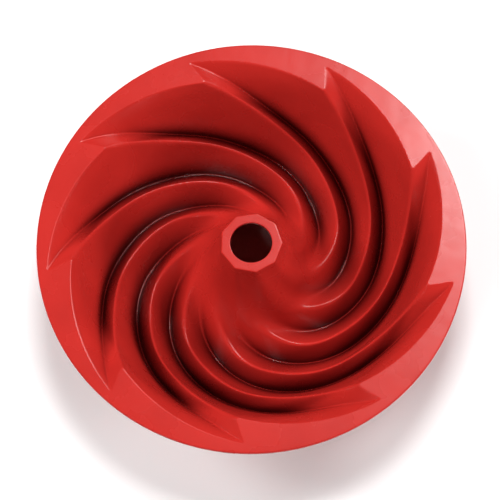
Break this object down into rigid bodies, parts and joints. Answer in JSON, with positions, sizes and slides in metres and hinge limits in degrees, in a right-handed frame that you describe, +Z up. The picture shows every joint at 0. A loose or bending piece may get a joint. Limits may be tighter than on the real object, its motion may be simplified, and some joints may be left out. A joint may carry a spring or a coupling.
{
  "type": "swirl bundt mould",
  "caption": "Round one-piece silicone swirl bundt mould: flat rim flange, nine spiralling sharp-edged flutes and a hollow centre cone with a level ring on top.",
  "frame": {"origin": "centre of the circle the mould stands on, on the mould's axis", "axes": "+Z up along the mould's axis, out of the open side; +X and +Y across the rim"},
  "size_m": [0.25, 0.25, 0.068],
  "materials": {
    "silicone": "satin moulded silicone, pigmented red"
  },
  "bodies": {
    "root": {"rim_flange": "silicone", "flute_1": "silicone", "flute_2": "silicone", "flute_3": "silicone", "flute_4": "silicone", "flute_5": "silicone", "flute_6": "silicone", "flute_7": "silicone", "flute_8": "silicone", "flute_9": "silicone", "hub_ring": "silicone"}
  },
  "joints": []
}
